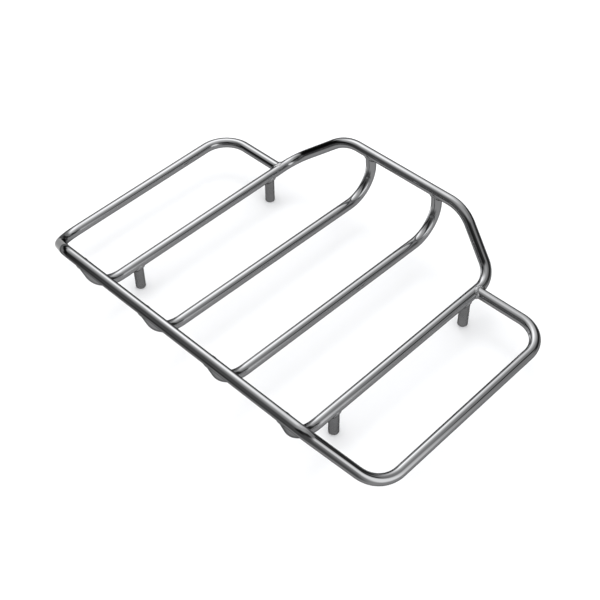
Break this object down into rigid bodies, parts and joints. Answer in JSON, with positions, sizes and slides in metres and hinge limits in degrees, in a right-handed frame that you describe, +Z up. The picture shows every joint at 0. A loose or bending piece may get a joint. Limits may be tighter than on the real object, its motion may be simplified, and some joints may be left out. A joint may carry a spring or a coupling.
{
  "type": "motorcycle luggage rack",
  "caption": "Welded round-tube luggage rack for a trunk lid: a low slatted deck with side wings, raised front and rear rails, on threaded posts.",
  "frame": {"origin": "centre of the rack in plan, at the plane of the post feet", "axes": "+X across the rack to its right wing, +Y from the front rail to the rear rail, +Z up"},
  "size_m": [0.5246, 0.3751, 0.0973],
  "materials": {
    "tube": "polished",
    "post": "dull chrome",
    "weld": "dull chrome"
  },
  "bodies": {
    "root": {"outer_rail": "tube", "inner_hoop": "tube", "left_bar": "tube", "right_bar": "tube", "front_left_post": "post", "front_right_post": "post", "rear_left_post": "post", "rear_right_post": "post", "left_wing_weld": "weld", "right_wing_weld": "weld", "left_hook_weld": "weld", "right_hook_weld": "weld", "left_bar_front_weld": "weld", "right_bar_front_weld": "weld", "left_bar_rear_weld": "weld", "right_bar_rear_weld": "weld", "front_left_post_weld": "weld", "front_right_post_weld": "weld", "rear_left_post_weld": "weld", "rear_right_post_weld": "weld"}
  },
  "joints": []
}
